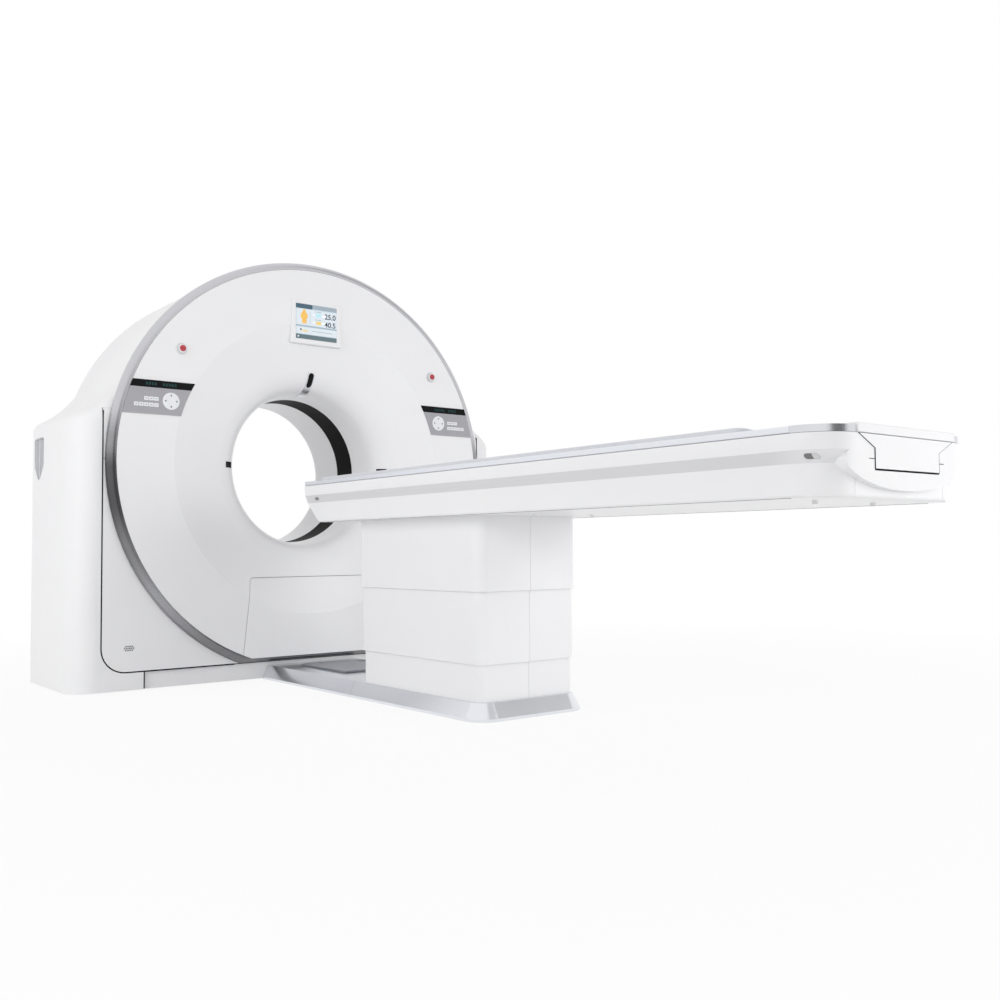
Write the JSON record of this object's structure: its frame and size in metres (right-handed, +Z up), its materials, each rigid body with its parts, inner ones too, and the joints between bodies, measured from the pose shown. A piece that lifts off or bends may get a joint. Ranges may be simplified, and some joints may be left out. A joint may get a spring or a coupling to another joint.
{
  "type": "ct scanner",
  "caption": "Whole-body CT scanner: round-topped gantry with a patient bore and turning rotor, and a lifting patient table with a sliding cradle.",
  "frame": {"origin": "on the floor under the isocentre, at the scan plane", "axes": "+Z up, +Y into the gantry along the bore, +X to the right when facing the gantry's front"},
  "size_m": [2.15, 3.639, 1.899],
  "materials": {
    "belt_rubber": "matt black",
    "black_glass": "glossy black",
    "brass_tracks": "turned",
    "bright_trim": "bright plated",
    "button_grey": "grey rubber-like plastic",
    "cast_aluminium": "cast and machined",
    "cradle_carbon": "grey coated carbon fibre",
    "dark_window": "matt black film",
    "frame_paint": "dark grey paint",
    "grey_insert": "grey moulding",
    "lead_grey": "rough cast",
    "machined_steel": "machined",
    "panel_grey": "grey film with paler keys",
    "rail_silver": "brushed and anodised",
    "red_button": "glossy red",
    "screen_glass": "lit display",
    "silver_trim": "satin silver paint",
    "skirt_silver": "silver paint",
    "unit_grey": "grey paint",
    "white_cover": "satin white moulding"
  },
  "bodies": {
    "stand": {"access_panel": "white_cover", "bearing_fixed_ring": "machined_steel", "bore_liners": "white_cover", "cable_hatch": "skirt_silver", "camera_strip": "bright_trim", "control_panels": "panel_grey", "corner_covers": "white_cover", "display_strips": "black_glass", "drive_belt": "belt_rubber", "drive_motor": "frame_paint", "front_cover": "white_cover", "gantry_frame": "frame_paint", "grip_inserts": "grey_insert", "laser_windows": "black_glass", "left_side_cover": "white_cover", "lift_motor": "frame_paint", "lower_pedestal_cover": "white_cover", "plinth_cover": "white_cover", "rear_cover": "white_cover", "right_side_cover": "white_cover", "ring_trim": "silver_trim", "screen": "screen_glass", "screen_bezel": "white_cover", "skirt": "skirt_silver", "slip_ring_brushes": "unit_grey", "stop_collars": "grey_insert", "table_base": "frame_paint", "xray_window": "dark_window"},
    "rotor": {"bearing_turning_ring": "machined_steel", "rotor_disc": "cast_aluminium", "slip_ring": "brass_tracks", "xray_tube": "unit_grey", "collimator": "lead_grey", "detector": "unit_grey", "high_voltage_generator": "unit_grey", "heat_exchanger": "unit_grey", "counterweight": "lead_grey"},
    "table_top": {"lift_carriage": "machined_steel", "upper_pedestal_cover": "white_cover", "beam_frame": "cast_aluminium", "left_side_panel": "white_cover", "right_side_panel": "white_cover", "side_rails": "rail_silver", "tail_corners": "bright_trim", "tail_cap": "white_cover", "tail_inset_panel": "white_cover", "tail_lip": "white_cover", "table_deck": "cast_aluminium", "bottom_pan": "white_cover", "cradle_drive": "frame_paint"},
    "lift_middle": {"lift_middle_tubes": "machined_steel", "middle_pedestal_cover": "white_cover"},
    "motor_pulley": {"motor_pulley": "machined_steel"},
    "left_stop": {"left_stop_button": "red_button"},
    "right_stop": {"right_stop_button": "red_button"},
    "cradle": {"cradle": "cradle_carbon"},
    "left_front_key": {"left_front_button": "button_grey"},
    "left_rear_key": {"left_rear_button": "button_grey"},
    "right_front_key": {"right_front_button": "button_grey"},
    "right_rear_key": {"right_rear_button": "button_grey"}
  },
  "joints": [
    {"name": "rotor_spin", "type": "hinge", "parent": "stand", "child": "rotor", "pos_m": [0, 0.195, 0.953], "axis": [0, 1, 0], "continuous": true},
    {"name": "motor_spin", "type": "hinge", "parent": "stand", "child": "motor_pulley", "pos_m": [0.9, 0.15, 0.36], "axis": [0, 1, 0], "continuous": true},
    {"name": "table_lift", "type": "slide", "parent": "stand", "child": "table_top", "axis": [0, 0, -1], "range_m": [0, 0.12]},
    {"name": "lift_middle_slide", "type": "slide", "parent": "stand", "child": "lift_middle", "axis": [0, 0, -1], "range_m": [0, 0.06]},
    {"name": "cradle_slide", "type": "slide", "parent": "table_top", "child": "cradle", "axis": [0, 1, 0], "range_m": [0, 1.75]},
    {"name": "left_stop_press", "type": "slide", "parent": "stand", "child": "left_stop", "axis": [0, 1, 0], "range_m": [0, 0.004], "stiffness_N_per_m": 2500, "springref_m": -0.002},
    {"name": "right_stop_press", "type": "slide", "parent": "stand", "child": "right_stop", "axis": [0, 1, 0], "range_m": [0, 0.004], "stiffness_N_per_m": 2500, "springref_m": -0.002},
    {"name": "left_front_key_press", "type": "slide", "parent": "table_top", "child": "left_front_key", "axis": [1, 0, 0], "range_m": [0, 0.002], "stiffness_N_per_m": 1500, "springref_m": -0.001},
    {"name": "left_rear_key_press", "type": "slide", "parent": "table_top", "child": "left_rear_key", "axis": [1, 0, 0], "range_m": [0, 0.002], "stiffness_N_per_m": 1500, "springref_m": -0.001},
    {"name": "right_front_key_press", "type": "slide", "parent": "table_top", "child": "right_front_key", "axis": [-1, 0, 0], "range_m": [0, 0.002], "stiffness_N_per_m": 1500, "springref_m": -0.001},
    {"name": "right_rear_key_press", "type": "slide", "parent": "table_top", "child": "right_rear_key", "axis": [-1, 0, 0], "range_m": [0, 0.002], "stiffness_N_per_m": 1500, "springref_m": -0.001}
  ],
  "couplings": [
    {"joint": "motor_spin", "follows": "rotor_spin", "ratio": 14.333},
    {"joint": "lift_middle_slide", "follows": "table_lift", "ratio": 0.5}
  ]
}
